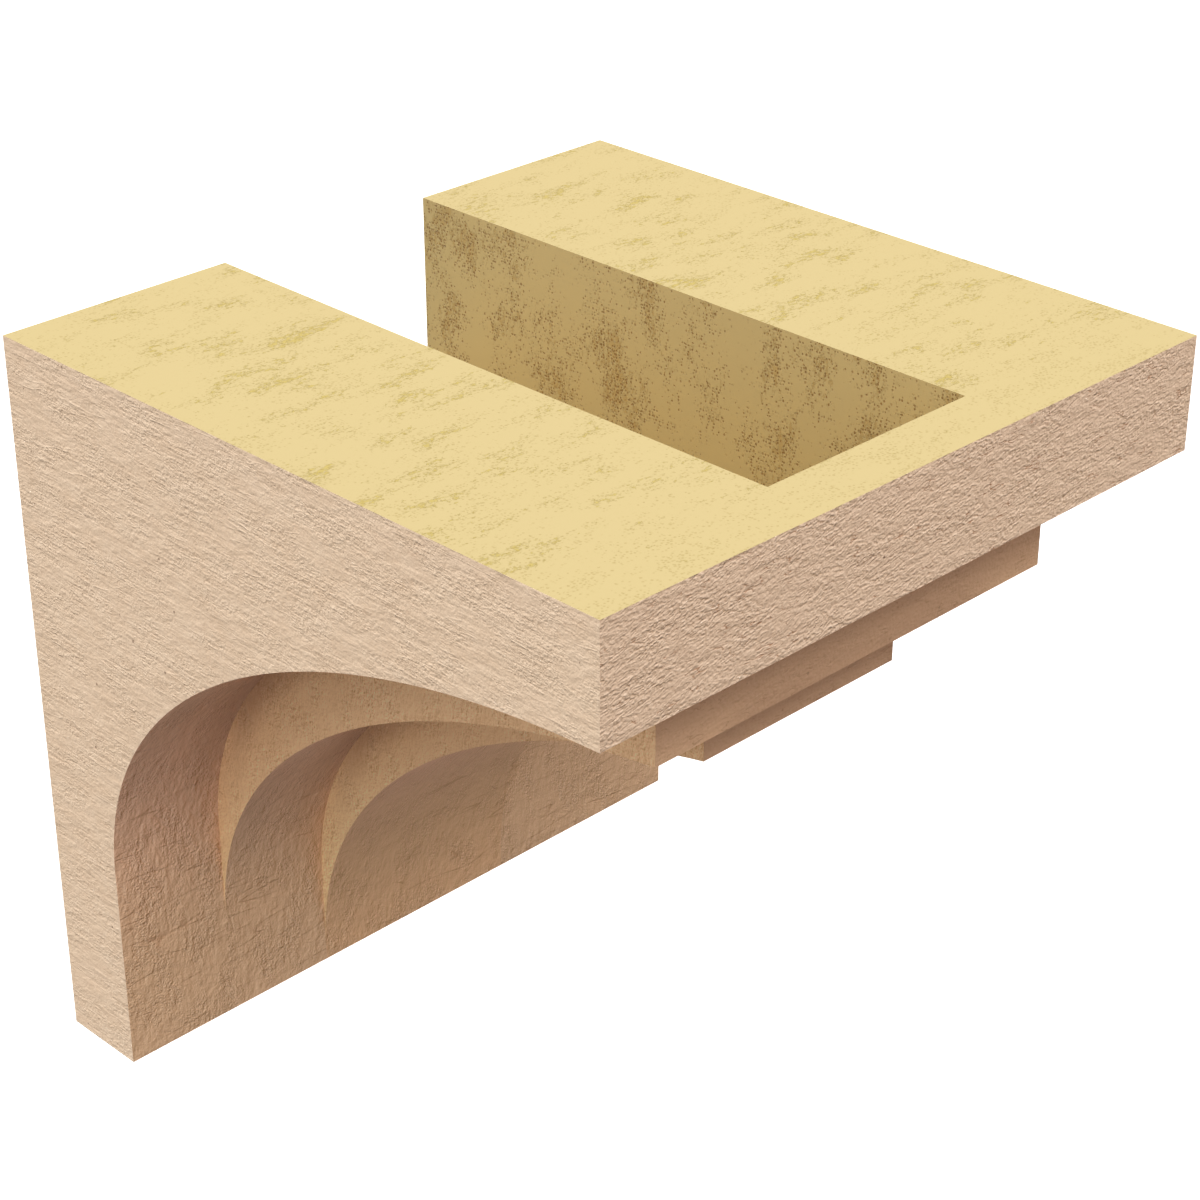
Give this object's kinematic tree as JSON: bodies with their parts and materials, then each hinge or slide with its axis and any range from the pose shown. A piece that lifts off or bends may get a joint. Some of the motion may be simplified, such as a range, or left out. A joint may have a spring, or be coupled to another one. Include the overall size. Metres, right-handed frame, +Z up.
{
  "type": "urethane corbel",
  "caption": "Square stepped bracket moulded in rigid foam with a sawn-timber skin: a plate for the wall, coved tiers reaching out, and an open channel in the top for a beam.",
  "frame": {"origin": "middle of the flat back, on the wall plane", "axes": "+Y into the wall, so the front faces -Y; +Z up, towards the face with the channel; +X to the right, seen from the front"},
  "size_m": [0.3048, 0.3048, 0.3048],
  "materials": {
    "urethane": "matt pinkish tan primer over a fine sawn-timber grain on the front, sides, coves and bottom; raw pale yellow foam on the top, in the channel and on the back"
  },
  "bodies": {
    "root": {"corbel": "urethane"}
  },
  "joints": []
}
